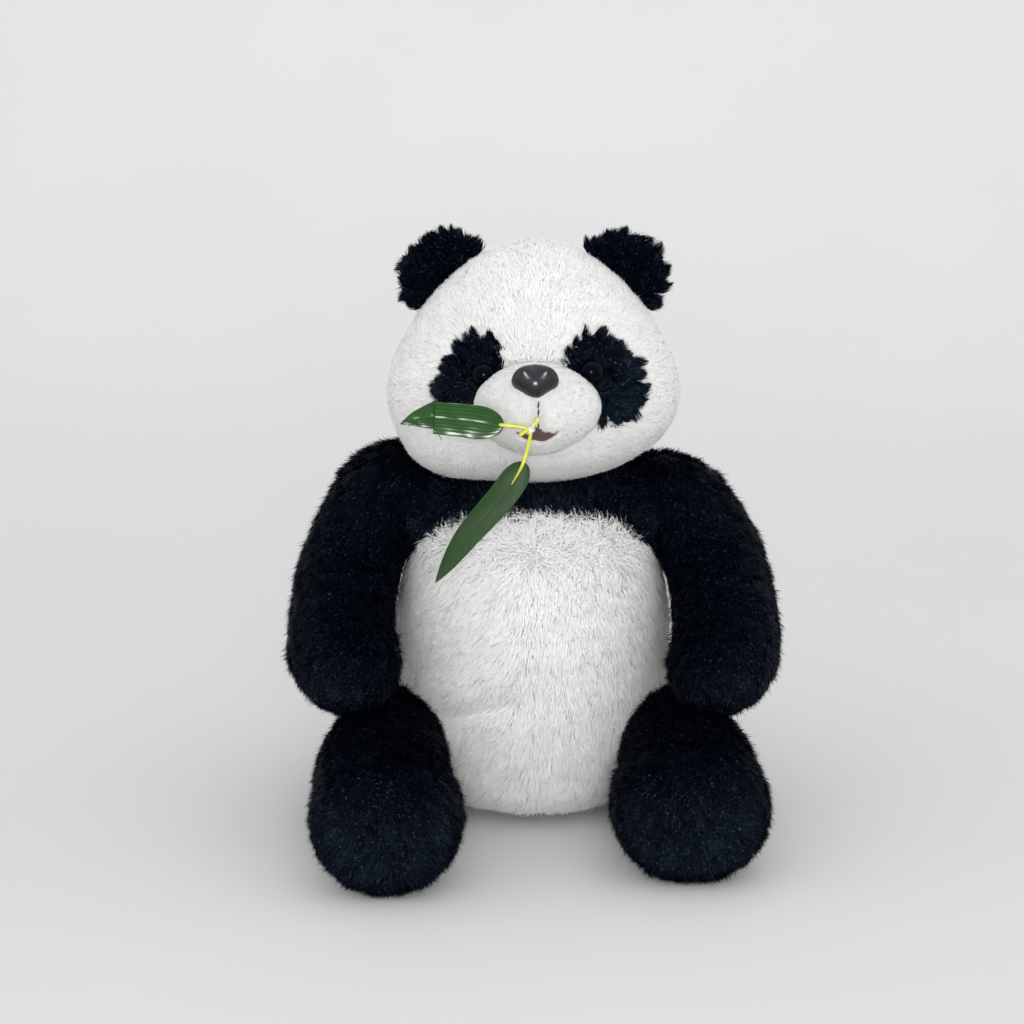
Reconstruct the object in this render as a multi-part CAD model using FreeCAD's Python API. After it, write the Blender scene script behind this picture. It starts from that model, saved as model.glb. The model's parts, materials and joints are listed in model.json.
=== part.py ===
"""Seated plush panda with a bamboo sprig in its mouth.

Millimetres, +Z up, the panda faces -Y, and the origin is the middle of its seat on the floor.
Left and right are the panda's own: its left side is +X.
Every outer surface is the envelope of the fur, and a skin is the backing cloth with its pile.
"""

import FreeCAD
import Part

import math
import os

V = FreeCAD.Vector
X_AXIS = V(1, 0, 0)
Y_AXIS = V(0, 1, 0)
Z_AXIS = V(0, 0, 1)
SIDES = {"left": 1, "right": -1}
FAR = 400

# Fur and cloth
SKIN = 7
SHORT_SKIN = 4
MOUTH_PROUD = 0.5
STITCH_PROUD = 1

# Head: round above its widest height, flatter below it, and less deep than wide
HEAD_MIDDLE = V(0, -10, 250)
HEAD_HALF_WIDTH = 91
HEAD_RISE = 94
HEAD_DROP = 57
HEAD_HALF_DEPTH = 75
HEAD_PLAY = 4
GUSSET_HALF_WIDTH = 28

# Torso: (height, radius) poles of its outline, an egg across the shoulders, and flat sides by the arms
TORSO_PROFILE = [(0, 60), (6, 78), (45, 86), (95, 85), (140, 79), (185, 66), (215, 40)]
SHOULDER_CENTRE = V(0, 5, 177)
SHOULDER_REACH = 112
SHOULDER_RADIUS = 38
TORSO_HALF_WIDTH = 78
SEAT_HEIGHT = 10
BELLY_TOP = 180
BELLY_HALF_WIDTH = 77
BELLY_SHOULDER = 108

# Neck plug and pellet pouch, both inside the torso
NECK_RADIUS = 30
NECK_BOTTOM = 168
POUCH_BOTTOM = V(0, 22, 12)
POUCH_RADIUS = 34
POUCH_HEIGHT = 30
POUCH_EDGE = 13

# Arms: the shoulder end, the way to the paw, and (distance, radius) poles of the outline
ARM_TOP = V(97, 10, 212)
ARM_WAY = V(15, -85, -102)
ARM_PROFILE = [(0, 0), (0, 20), (22, 29), (60, 31), (100, 36), (145, 38), (174, 29), (174, 0)]
ARM_INNER_FACE = 79

# Legs: the hip, each foot's middle, and poles of the outline as (share of the length, radius)
HIP = V(72, -20, 42)
FOOT_CENTRES = {"left": V(85, -135, 42), "right": V(82, -150, 42)}
FOOT_LENGTH = 17
LEG_PROFILE = [(0, 0), (0, 26), (0.22, 38), (0.5, 37), (0.78, 45), (1, 45), (1, 24), (1, 0)]
SOLE_DEPTH = 12
SPLAY_ENDS = (-6, 12)
LEG_ROOT = 12
LEG_GAP = 2

# Ears: half discs on the head's seam
EAR_BASE = V(52, 0, 317)
EAR_TILT = 48
EAR_HALF_CHORD = 29
EAR_HEIGHT = 29
EAR_HALF_THICKNESS = 8
EAR_SWING = (-20, -10, 0, 10, 20)
EAR_GAP = 0.8

# Face
MUZZLE_CENTRE = V(0.5, -80, 255.5)
MUZZLE_HALF_WIDTH = 35
MUZZLE_RADIUS = 26.5
MUZZLE_BACK = -74
PATCH_CENTRE = V(39, 0, 271)
PATCH_HALF_LENGTH = 28
PATCH_HALF_WIDTH = 20
PATCH_TILT = 60
EYE_CENTRE = V(30, -74, 275)
EYE_RADIUS = 7
SHANK_RADIUS = 2
EYE_SHANK_LENGTH = 17
EYE_WASHER_DEPTH = 10
WASHER_RADIUS = 8
WASHER_THICKNESS = 1.5
NOSE_CENTRE = V(0, -97, 274.5)
NOSE_HALF_WIDTH = 13
NOSE_TOP = 7
NOSE_BOTTOM = -8
NOSE_CORNER = 4
NOSE_THICKNESS = 9
NOSE_EDGE = 3
NOSE_SINK = 2
NOSE_LEAN = 45
NOSE_SHANK_LENGTH = 16
NOSE_WASHER_DEPTH = 10
MOUTH_CENTRE = V(2, -100, 247)
MOUTH_HALF_WIDTH = 12
MOUTH_HALF_HEIGHT = 4
STITCH_X = 1.7
STITCH_WIDTH = 1.6
STITCH_BOTTOMS = (251, 256.2, 261.4)
STITCH_LENGTH = 4

# Bamboo sprig, tied in front of the mouth
KNOT = V(-2.6, -111.5, 249.8)
LOOP_RADIUS = 5.5
THREAD_RADIUS = 0.6
STEM_RADIUS = 1
UPPER_Y = -110
LOWER_Y = -113
STEM_UPPER = [(1, 254), (-3, 250.5), (-19, 252.6)]
STEM_LOWER = [(-8, 247.5), (-2.6, 250.4), (-4.8, 237.3), (-7, 231.6)]
LEAF_UPPER_ENDS = [(-18, 253), (-73.5, 254)]
LEAF_LOWER_ENDS = [(-3.5, 235), (-55, 164)]
LEAF_HALF_WIDTH = 10
LEAF_THICKNESS = 0.8

# Tail
TAIL_CENTRE = V(0, 84, 40)
TAIL_RADIUS = 19
TAIL_HALF_LENGTH = 20


def box(low, high):
    return Part.makeBox(high.x - low.x, high.y - low.y, high.z - low.z, low)


def slab(axis, low, high):
    """Everything between two planes across one axis."""
    a = V(-FAR, -FAR, -FAR)
    b = V(FAR, FAR, FAR)
    setattr(a, axis, low)
    setattr(b, axis, high)
    return box(a, b)


def spun(edges, start, way):
    """Solid turned about a line, from a closed outline that has one side on the Z axis."""
    outline = Part.Face(Part.Wire(edges))
    half = outline.revolve(V(0, 0, 0), Z_AXIS, 180)
    solid = half.fuse(rotated(half, V(0, 0, 0), Z_AXIS, 180))
    solid.Placement = FreeCAD.Placement(start, FreeCAD.Rotation(Z_AXIS, way))
    return solid


def turned(start, way, poles):
    """Solid turned about a line; the outline is a spline with poles at (distance along the line, radius)."""
    points = [V(radius, 0, along) for along, radius in poles]
    first = V(0, 0, poles[0][0])
    last = V(0, 0, poles[-1][0])
    curve = Part.BSplineCurve()
    curve.buildFromPoles(points, False, 3)
    edges = [curve.toShape()]
    if poles[-1][1] > 0:
        edges.append(Part.makeLine(points[-1], last))
    edges.append(Part.makeLine(last, first))
    if poles[0][1] > 0:
        edges.append(Part.makeLine(first, points[0]))
    return spun(edges, start, way)


def egg(centre, way, half_length, radius):
    """Egg turned about its long line, through its centre."""
    tip = V(0, 0, half_length)
    rim = V(radius, 0, 0)
    arc = Part.Arc(Part.Ellipse(tip, rim, V(0, 0, 0)), 0, math.pi)
    return spun([arc.toShape(), Part.makeLine(tip, -tip)], centre, way)


def shrunk(profile, thickness):
    """A profile moved inwards by a thickness, at its sides and at both ends."""
    first = profile[0][0]
    last = profile[-1][0]
    scale = (last - first - 2 * thickness) / (last - first)
    inner = []
    for along, radius in profile:
        inner.append((first + thickness + (along - first) * scale, max(0, radius - thickness)))
    return inner


def oval_prism(centre, half_length, half_width, tilt, low_y, high_y):
    """Oval bar along Y; tilt turns its long half up from X."""
    oval = Part.Ellipse(V(0, 0, 0), half_length, half_width).toShape()
    bar = Part.Face(Part.Wire([oval])).extrude(V(0, 0, high_y - low_y))
    stand = FreeCAD.Rotation(V(1, 0, 0), -90)
    lean = FreeCAD.Rotation(Y_AXIS, -tilt)
    bar.Placement = FreeCAD.Placement(V(centre.x, low_y, centre.z), lean * stand)
    return bar


def mirrored(shape):
    return shape.mirror(V(0, 0, 0), X_AXIS)


def on_side(shape, side):
    """A shape made for the left side, or its mirror image for the right."""
    return shape if SIDES[side] > 0 else mirrored(shape)


def rotated(shape, centre, axis, angle):
    copy = shape.copy()
    copy.rotate(centre, axis, angle)
    return copy


def side_place(point, side):
    return V(point.x * SIDES[side], point.y, point.z)


def export(name, shape):
    """Write one sub-part after checking that it is made of sound solids."""
    solids = [s for s in shape.Solids if s.Volume > 1]
    kept = Part.makeCompound(solids) if len(solids) > 1 else solids[0]
    volume = sum(s.Volume for s in solids)
    print(f"{name:22s} solids {len(solids)} valid {kept.isValid()} cm3 {volume / 1000:.2f}")
    kept.exportStep(f"parts/{name}.step")


# Envelopes, each larger or smaller by a thickness

def head_form(grow=0):
    """Two half eggs that meet at the widest height, squeezed along Y."""
    wide = HEAD_HALF_WIDTH + grow
    rim = V(wide, 0, 0)
    crown = V(0, 0, HEAD_RISE + grow)
    chin = V(0, 0, -HEAD_DROP - grow)
    upper = Part.Arc(Part.Ellipse(crown, rim, V(0, 0, 0)), 0, math.pi / 2).toShape()
    lower = Part.Arc(Part.Ellipse(rim, chin, V(0, 0, 0)), 0, math.pi / 2).toShape()
    form = spun([upper, lower, Part.makeLine(chin, crown)], V(0, 0, 0), Z_AXIS)
    squeeze = FreeCAD.Matrix()
    squeeze.scale(1, (HEAD_HALF_DEPTH + grow) / wide, 1)
    form = form.transformGeometry(squeeze)
    form.translate(HEAD_MIDDLE)
    return form


def muzzle_form(grow=0):
    """Ball stretched across the face, flat where it meets the filling of the head. Its seam faces back."""
    radius = MUZZLE_RADIUS + grow
    form = rotated(Part.makeSphere(radius), V(0, 0, 0), Y_AXIS, 90)
    form = rotated(form, V(0, 0, 0), X_AXIS, 90)
    stretch = FreeCAD.Matrix()
    stretch.scale((MUZZLE_HALF_WIDTH + grow) / radius, 1, 1)
    form = form.transformGeometry(stretch)
    form.translate(MUZZLE_CENTRE)
    return form.common(slab("y", -FAR, MUZZLE_BACK))


def leg_form(side, grow=0, splay=0):
    """Envelope of a leg, turned out at the hip by the splay angle."""
    foot = FOOT_CENTRES[side]
    way = (foot - HIP).normalize()
    start = HIP - way * LEG_ROOT
    reach = (foot - start).Length + FOOT_LENGTH
    poles = [(share * reach, radius) for share, radius in LEG_PROFILE]
    leg = rotated(turned(start, way, shrunk(poles, -grow)), HIP, Z_AXIS, splay)
    return on_side(leg, side)


def clear_of_legs(shape, sides, gap):
    """Leave room for legs that splay from one end of their travel to the other."""
    for side in sides:
        for splay in SPLAY_ENDS:
            shape = shape.cut(leg_form(side, gap, splay))
    return shape


def arm_form(side, grow=0):
    arm = turned(ARM_TOP, ARM_WAY, shrunk(ARM_PROFILE, -grow))
    arm = arm.common(slab("x", ARM_INNER_FACE - grow, FAR))
    return on_side(arm, side)


# Torso

def torso_form(grow):
    body = turned(V(0, 0, 0), Z_AXIS, shrunk(TORSO_PROFILE, -grow))
    return body.fuse(egg(SHOULDER_CENTRE, X_AXIS, SHOULDER_REACH + grow, SHOULDER_RADIUS + grow))


def torso_parts():
    outer = torso_form(0)
    outer = outer.common(slab("x", -TORSO_HALF_WIDTH, TORSO_HALF_WIDTH))
    outer = clear_of_legs(outer.cut(head_form(HEAD_PLAY)), SIDES, LEG_GAP)
    inner = torso_form(-SKIN)
    inner_side = TORSO_HALF_WIDTH - SKIN
    inner = inner.common(slab("x", -inner_side, inner_side))
    inner = clear_of_legs(inner.cut(head_form(HEAD_PLAY + SKIN)), SIDES, LEG_GAP + SKIN)
    neck_room = Part.makeCylinder(NECK_RADIUS + 1, FAR, V(HEAD_MIDDLE.x, HEAD_MIDDLE.y, NECK_BOTTOM - 1))
    skin = outer.cut(inner).cut(neck_room)

    seat = slab("z", -1, SEAT_HEIGHT)
    export("seat_panel", skin.common(seat))
    skin = skin.cut(seat)
    front = skin.common(slab("y", -FAR, 0))
    back = skin.common(slab("y", 0, FAR))
    rise = BELLY_TOP - BELLY_SHOULDER
    crown = oval_prism(V(0, 0, BELLY_SHOULDER), BELLY_HALF_WIDTH, rise, 0, -FAR, 1)
    belly = crown.fuse(slab("z", -1, BELLY_SHOULDER))
    export("belly_panel", front.common(belly))
    export("yoke_front", front.cut(belly))
    for side, sign in SIDES.items():
        half = slab("x", min(0, sign * FAR), max(0, sign * FAR))
        half_back = back.common(half)
        export(f"back_panel_{side}", half_back.common(slab("z", 0, BELLY_TOP)))
        export(f"yoke_back_{side}", half_back.common(slab("z", BELLY_TOP, FAR)))

    pouch = Part.makeCylinder(POUCH_RADIUS, POUCH_HEIGHT, POUCH_BOTTOM)
    rims = [e for e in pouch.Edges if e.Closed]
    pouch = pouch.makeFillet(POUCH_EDGE, rims)
    export("pellet_pouch", pouch)
    export("torso_stuffing", inner.cut(pouch).cut(neck_room))
    tail = egg(TAIL_CENTRE, Y_AXIS, TAIL_HALF_LENGTH, TAIL_RADIUS)
    export("tail", tail.cut(outer))


def neck_part():
    plug = Part.makeCylinder(NECK_RADIUS, FAR, V(HEAD_MIDDLE.x, HEAD_MIDDLE.y, NECK_BOTTOM))
    plug = plug.common(slab("z", NECK_BOTTOM, HEAD_MIDDLE.z))
    export("neck_core", plug.cut(head_form(1)))


# Head

def eye_solid(side):
    """Domed safety eye with its shank."""
    centre = side_place(EYE_CENTRE, side)
    dome = Part.makeSphere(EYE_RADIUS, centre)
    shank = Part.makeCylinder(SHANK_RADIUS, EYE_SHANK_LENGTH, centre, Y_AXIS)
    return dome.fuse(shank)


def rounded_face(centres, radius):
    """Flat face with a round corner about each of the centres, which run clockwise."""
    sides = []
    for a, b in zip(centres, centres[1:] + centres[:1]):
        way = (b - a).normalize()
        out = V(-way.y, way.x, 0) * radius
        sides.append((a + out, b + out))
    edges = []
    for i, (start, end) in enumerate(sides):
        following = (i + 1) % len(sides)
        corner = centres[following]
        next_start = sides[following][0]
        bulge = corner + (end + next_start - corner * 2).normalize() * radius
        edges.append(Part.makeLine(start, end))
        edges.append(Part.Arc(end, bulge, next_start).toShape())
    return Part.Face(Part.Wire(edges))


def nose_solid():
    """Rounded triangle, wide at its top, with a rounded front edge and a shank behind."""
    side = NOSE_HALF_WIDTH - NOSE_CORNER
    top = NOSE_TOP - NOSE_CORNER
    centres = [V(-side, top, 0), V(side, top, 0), V(0, NOSE_BOTTOM + NOSE_CORNER, 0)]
    nose = rounded_face(centres, NOSE_CORNER).extrude(V(0, 0, NOSE_THICKNESS))
    front = [e for e in nose.Edges if e.BoundBox.ZMin > NOSE_THICKNESS - 0.1]
    nose = nose.makeFillet(NOSE_EDGE, front)
    nose.translate(V(0, 0, -NOSE_SINK))
    nose = nose.fuse(Part.makeCylinder(SHANK_RADIUS, NOSE_SHANK_LENGTH, V(0, 0, 0), -Z_AXIS))
    nose.Placement = FreeCAD.Placement(NOSE_CENTRE, FreeCAD.Rotation(X_AXIS, NOSE_LEAN))
    return nose


def washer(face, way):
    """Locking washer on a shank, from its face inwards."""
    disc = Part.makeCylinder(WASHER_RADIUS, WASHER_THICKNESS, face, way)
    return disc.cut(Part.makeCylinder(SHANK_RADIUS, WASHER_THICKNESS, face, way))


def patch_bar(side):
    bar = oval_prism(PATCH_CENTRE, PATCH_HALF_LENGTH, PATCH_HALF_WIDTH, -PATCH_TILT, -FAR, HEAD_MIDDLE.y)
    return on_side(bar, side)


def mouth_pocket():
    return oval_prism(MOUTH_CENTRE, MOUTH_HALF_WIDTH, MOUTH_HALF_HEIGHT, 0, -FAR, MOUTH_CENTRE.y)


def face_parts():
    """Eyes and nose with their washers."""
    pieces = {}
    for side in SIDES:
        pieces[f"eye_{side}"] = eye_solid(side)
        face = side_place(EYE_CENTRE, side) + V(0, EYE_WASHER_DEPTH, 0)
        pieces[f"eye_washer_{side}"] = washer(face, Y_AXIS)
    pieces["nose"] = nose_solid()
    inwards = FreeCAD.Rotation(X_AXIS, NOSE_LEAN).multVec(-Z_AXIS)
    pieces["nose_washer"] = washer(NOSE_CENTRE + inwards * NOSE_WASHER_DEPTH, inwards)
    return pieces


def head_parts():
    pieces = face_parts()
    outer = head_form()
    inner = head_form(-SKIN)
    skin = outer.cut(inner)
    muzzle = muzzle_form()
    muzzle_inner = muzzle_form(-SHORT_SKIN)
    hardware = Part.makeCompound(list(pieces.values()))

    cloth = skin.cut(muzzle).cut(hardware)
    patches = {side: patch_bar(side) for side in SIDES}
    for side in SIDES:
        export(f"eye_patch_{side}", cloth.common(patches[side]))
    cloth = cloth.cut(patches["left"]).cut(patches["right"])
    export("head_gusset", cloth.common(slab("x", -GUSSET_HALF_WIDTH, GUSSET_HALF_WIDTH)))
    export("head_side_left", cloth.common(slab("x", GUSSET_HALF_WIDTH, FAR)))
    export("head_side_right", cloth.common(slab("x", -FAR, -GUSSET_HALF_WIDTH)))

    pocket = mouth_pocket()
    lining = muzzle_form(MOUTH_PROUD).cut(muzzle_inner).common(pocket)
    export("mouth_lining", lining)
    export("muzzle_cover", muzzle.cut(muzzle_inner).cut(pocket).cut(hardware))
    export("muzzle_stuffing", muzzle_inner.cut(hardware))
    export("head_stuffing", inner.cut(muzzle).cut(hardware))
    for name, piece in pieces.items():
        export(name, piece)

    stitches = []
    lip = muzzle_form(STITCH_PROUD).cut(muzzle).cut(pieces["nose"]).cut(lining)
    for bottom in STITCH_BOTTOMS:
        low = V(STITCH_X - STITCH_WIDTH / 2, -FAR, bottom)
        high = V(STITCH_X + STITCH_WIDTH / 2, MUZZLE_CENTRE.y, bottom + STITCH_LENGTH)
        stitches.append(lip.common(box(low, high)))
    export("philtrum_stitches", Part.makeCompound(stitches))


def ear_form(grow=0):
    """Left ear: a domed half disc standing on the head's seam."""
    way = V(math.cos(math.radians(EAR_TILT)), 0, math.sin(math.radians(EAR_TILT)))
    chord = V(-way.z, 0, way.x)
    thickness = EAR_HALF_THICKNESS + grow
    disc = Part.Ellipse(V(0, 0, 0), EAR_HALF_CHORD + grow, EAR_HEIGHT + grow)
    half = Part.Arc(disc, 0, math.pi).toShape()
    start = V(EAR_HALF_CHORD + grow, 0, 0)
    plate = Part.Face(Part.Wire([half, Part.makeLine(-start, start)]))
    plate = plate.extrude(V(0, 0, 2 * thickness))
    plate.translate(V(0, 0, -thickness))
    plate = plate.makeFillet(thickness * 0.8, [e for e in plate.Edges if is_rim(e)])
    frame = FreeCAD.Matrix(chord.x, way.x, 0, EAR_BASE.x,
                           chord.y, way.y, 1, EAR_BASE.y,
                           chord.z, way.z, 0, EAR_BASE.z)
    plate.Placement = FreeCAD.Placement(frame)
    return plate, chord


def is_rim(edge):
    """True for the two curved edges of an ear's plate."""
    return isinstance(edge.Curve, (Part.Ellipse, Part.Circle)) or edge.Length > 2 * EAR_HALF_CHORD + 5


def ear_parts():
    ear, chord = ear_form()
    for angle in EAR_SWING:
        ear = ear.cut(rotated(head_form(EAR_GAP), EAR_BASE, chord, angle))
    front = ear.common(slab("y", -FAR, EAR_BASE.y))
    back = ear.common(slab("y", EAR_BASE.y, FAR))
    for side in SIDES:
        export(f"ear_front_{side}", on_side(front, side))
        export(f"ear_back_{side}", on_side(back, side))


# Limbs

def arm_parts():
    for side, sign in SIDES.items():
        outer = clear_of_legs(arm_form(side), [side], LEG_GAP)
        inner = clear_of_legs(arm_form(side, -SKIN), [side], LEG_GAP + SKIN)
        skin = outer.cut(inner)
        seam_x = sign * (ARM_TOP.x + ARM_WAY.x / 2)
        outside = slab("x", min(seam_x, sign * FAR), max(seam_x, sign * FAR))
        export(f"arm_outer_{side}", skin.common(outside))
        export(f"arm_inner_{side}", skin.cut(outside))
        export(f"arm_stuffing_{side}", inner)


def leg_parts():
    for side in SIDES:
        outer = leg_form(side).common(slab("z", 0, FAR))
        inner = leg_form(side, -SKIN).common(slab("z", SKIN, FAR))
        skin = outer.cut(inner)
        sole_y = FOOT_CENTRES[side].y - FOOT_LENGTH + SOLE_DEPTH
        sole = slab("y", -FAR, sole_y)
        export(f"sole_{side}", skin.common(sole))
        skin = skin.cut(sole)
        export(f"leg_upper_{side}", skin.common(slab("z", HIP.z, FAR)))
        export(f"leg_under_{side}", skin.common(slab("z", -1, HIP.z)))
        export(f"leg_stuffing_{side}", inner)


# Bamboo sprig

def upright(places, y):
    """Points in the plane that faces the viewer, at one depth."""
    return [V(x, y, z) for x, z in places]


def stem(points):
    """Round stem through the points, with a ball at each bend."""
    pieces = []
    for a, b in zip(points, points[1:]):
        pieces.append(Part.makeCylinder(STEM_RADIUS, (b - a).Length, a, b - a))
    for bend in points[1:-1]:
        pieces.append(Part.makeSphere(STEM_RADIUS, bend))
    return pieces[0].multiFuse(pieces[1:])


def leaf(base, tip):
    """Lance-shaped blade between its two ends, facing -Y."""
    way = tip - base
    across = V(-way.z, 0, way.x).normalize()
    middle = (base + tip) * 0.5
    sides = []
    for sign in (1, -1):
        bulge = middle + across * (sign * LEAF_HALF_WIDTH)
        sides.append(Part.Arc(base, bulge, tip).toShape())
    blade = Part.Face(Part.Wire(sides))
    blade = blade.extrude(V(0, LEAF_THICKNESS, 0))
    blade.translate(V(0, -LEAF_THICKNESS / 2, 0))
    return blade


def sprig_parts():
    sprigs = {
        "upper": (STEM_UPPER, LEAF_UPPER_ENDS, UPPER_Y),
        "lower": (STEM_LOWER, LEAF_LOWER_ENDS, LOWER_Y),
    }
    for name, (bends, ends, y) in sprigs.items():
        stalk = stem(upright(bends, y))
        blade = leaf(*upright(ends, y))
        export(f"stem_{name}", stalk)
        export(f"leaf_{name}", blade.cut(stalk))
    loop = Part.makeTorus(LOOP_RADIUS, THREAD_RADIUS, KNOT, V(-1, 0, -1))
    export("mouth_thread", loop.cut(muzzle_form(MOUTH_PROUD)))


def main():
    os.makedirs("parts", exist_ok=True)
    torso_parts()
    neck_part()
    head_parts()
    ear_parts()
    arm_parts()
    leg_parts()
    sprig_parts()


main()
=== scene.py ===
"""The looks of a seated plush panda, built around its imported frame.

Lengths are millimetres in the row's frame, +Z up and the panda facing -Y, until mesh_object() makes metres of
them. Left and right are the panda's own, so its left side is +X.
"""

import json
import math
from collections import namedtuple

import bpy
import numpy as np
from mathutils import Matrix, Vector
from mathutils.bvhtree import BVHTree
from mathutils.kdtree import KDTree

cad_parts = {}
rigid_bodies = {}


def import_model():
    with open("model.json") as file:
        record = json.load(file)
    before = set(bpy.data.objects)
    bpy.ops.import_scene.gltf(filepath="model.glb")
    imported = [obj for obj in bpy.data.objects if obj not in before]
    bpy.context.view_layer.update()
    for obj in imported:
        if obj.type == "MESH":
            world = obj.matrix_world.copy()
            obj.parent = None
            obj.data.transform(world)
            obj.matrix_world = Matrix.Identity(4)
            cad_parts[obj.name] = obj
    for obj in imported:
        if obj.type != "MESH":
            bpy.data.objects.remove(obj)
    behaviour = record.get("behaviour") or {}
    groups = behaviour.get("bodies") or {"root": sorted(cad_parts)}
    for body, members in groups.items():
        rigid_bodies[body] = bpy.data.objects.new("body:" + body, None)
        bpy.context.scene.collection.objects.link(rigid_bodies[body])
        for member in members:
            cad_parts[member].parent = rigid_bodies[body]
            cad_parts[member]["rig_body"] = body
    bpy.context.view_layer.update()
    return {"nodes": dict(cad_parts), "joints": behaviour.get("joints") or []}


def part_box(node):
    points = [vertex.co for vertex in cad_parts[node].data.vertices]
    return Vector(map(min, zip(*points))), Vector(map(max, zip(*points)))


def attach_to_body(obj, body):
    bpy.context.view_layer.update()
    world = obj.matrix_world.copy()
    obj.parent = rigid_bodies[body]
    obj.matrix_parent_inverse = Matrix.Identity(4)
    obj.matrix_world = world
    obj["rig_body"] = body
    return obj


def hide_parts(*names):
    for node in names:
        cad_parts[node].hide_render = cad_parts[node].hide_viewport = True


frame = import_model()

MM = 0.001
SIDES = {"left": 1, "right": -1}
FLOOR_CLEARANCE = 0.25

# Camera
CAMERA_TARGET = (-12.7, 0, 173.7)
CAMERA_DISTANCE = 1300
CAMERA_ELEVATION = 15
CAMERA_LENS = 75.8
CAMERA_SENSOR = 36

# Light: each lamp's place, what it points at, its size and its watts
TOY_MIDDLE = (0, -20, 150)
LIGHTS = {
    "front": ((60, -1650, 600), TOY_MIDDLE, (450, 350), 8.2),
    "top": ((300, 200, 1900), TOY_MIDDLE, (1600, 1200), 2.8),
    "glint": ((-20, -1400, 750), TOY_MIDDLE, (260, 260), 11),
    "wall": ((0, 900, 1500), (0, 1800, 900), (3000, 600), 5.5),
}
SKY_COLOUR = (0.985, 0.99, 1, 1)
SKY_STRENGTH = 1.06

# Backdrop: a floor that bends up into a wall
FLOOR_FRONT = -2500
FLOOR_HALF_WIDTH = 4500
BEND_START = 900
BEND_RADIUS = 900
WALL_TOP = 4000

# Depth of the pile over its backing cloth, the cloth's thickness, and the cloth's height over the floor
PILE = 7
SHORT_PILE = 2.4
TAIL_PILE_DEPTH = 5
CLOTH = 1.2
UNDERSIDE = 4

# How far the loose filling lies inside the cloth's outer face
FILLING_DEPTH = 3.5
MUZZLE_FILLING_DEPTH = 2.2

# How coarse the sewn forms are, and how far filling may push the cloth between its seams
BODY_MESH = {"voxel": 5, "smoothing": 6}
LIMB_MESH = {"voxel": 5, "smoothing": 10}
SMALL_MESH = {"voxel": 4, "smoothing": 2}
FINE_MESH = {"voxel": 2.5, "smoothing": 3}
PUFF_PRESSURE = 4
PUFF_CAP = 3
PUFF_FRAMES = 20
SEAM_HALF_WIDTH = 6

# Head: (height, half width) up its outline over the fur, depth as a share of width, the sockets behind the
# eyes, and where the face's pile turns into the back's
HEAD_OUTLINE = [(193, 12), (197, 36), (206, 60), (220, 79), (234, 88), (248, 91), (262, 89), (280, 82),
                (298, 72), (316, 59), (330, 44), (339, 28), (344, 10)]
HEAD_MIDDLE_Y = -10
HEAD_DEPTH = 0.84
SOCKET_MIDDLE = (33, -74, 274)
SOCKET_REACH = (26, 30, 24)
SOCKET_DEPTH = 5
BRUSHED_BACK = (-10, 50)

# Jowl of the right cheek: it sets in at the first height and depth, and is full at the second
JOWL_X = -64
JOWL_HALF_WIDTH = 28
JOWL_DROP = 9
JOWL_HEIGHTS = (256, 222)
JOWL_DEPTHS = (20, -30)

# Torso: (height, half width) up its outline over the fur
TORSO_OUTLINE = [(1, 62), (5, 75), (20, 84), (45, 88), (80, 88), (110, 86), (140, 81), (165, 74), (188, 60),
                 (203, 44), (212, 16)]
TORSO_MIDDLE_Y = -1
TORSO_DEPTH = 1
SHOULDER_MIDDLE = (0, 5, 177)
SHOULDER_RADII = (104, 38, 36)
TORSO_SIDES = {"left": 77.5, "right": 78}
BELLY_MIDDLE_Z = 100
BELLY_HALF_WIDTH = 80
BELLY_RISE = 82
BELLY_SQUARENESS = 2.6
BELLY_SEAM_X = 3.5
BELLY_SEAM_HALF_WIDTH = 5
BELLY_SEAM_DEPTH = 2.2

# Soft fold that runs outwards and down over the belly's right half
FOLD_PLACE = (-25, 78)
FOLD_SLOPE = 0.35
FOLD_HALF_WIDTH = 7
FOLD_DEPTH = 3

# Limbs over the fur, written as for the left side: balls along each as (place, radius), and a foot's disc as
# its middle and half sizes
ARM_BALLS = [((75, 5, 186), 27), ((90, 5, 177), 31), ((107, -12, 151), 32), ((112, -38, 129), 33),
             ((112, -62, 109), 34), ((106, -78, 104), 32)]
SHOULDER_BALLS = 2
SHOULDER_RISE = {"left": 0, "right": 7}
LEG_BALLS = {
    "left": [((73, -32, 42), 34), ((84, -62, 45), 37), ((89, -90, 45), 39), ((88, -118, 43), 41)],
    "right": [((73, -32, 42), 34), ((84, -66, 45), 37), ((88, -100, 45), 39), ((85, -132, 43), 41)],
}
FOOT = {"left": ((87, -130, 39), (46, 34, 43)), "right": ((82, -147, 39), (44, 34, 43))}
FOOT_SQUARENESS = 4.2
LIMB_STATIONS = 24

# Ears: half discs on the head's seam
EAR_TILT = 48
EAR_HALF_WIDTH = 24
EAR_HEIGHT = 22
EAR_HALF_THICKNESS = 5
EAR_SINK = 5
EAR_PILE_ROOT = 6

# How the pile is brushed: what is added to each part's own direction
PATCH_PARTING = (24, -76, 268)
PATCH_DRIFT = (0.25, 0, 0.15)
MUZZLE_DRIFT = (0, 0, -0.3)
BELLY_UPTURN = 1.45
BELLY_SLANT = (-0.7, 0, 0.1)
BELLY_SPREAD = 0.7
ARM_DRIFT = (0.15, 0, -0.1)
LEG_ALONG = 0.8
LEG_DROP = (0, 0, -0.6)
SOLE_SPREAD = (0.8, 0, 0.25)
EAR_RISE = 0.5

# Eyes; a patch's pile reaches past the oval that it is rooted in
PATCH_ROOT = {"left": (37.5, 268), "right": (31.5, 267)}
PATCH_TILT = 58
PATCH_HALF_LENGTH = 24
PATCH_HALF_WIDTH = 17
PATCH_SQUARENESS = 2.5
EYE_RADIUS = 7
EYE_SHANK_RADIUS = 2
EYE_SET = {"left": (1.5, 0, -1), "right": (1.5, 0, -2.5)}

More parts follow.
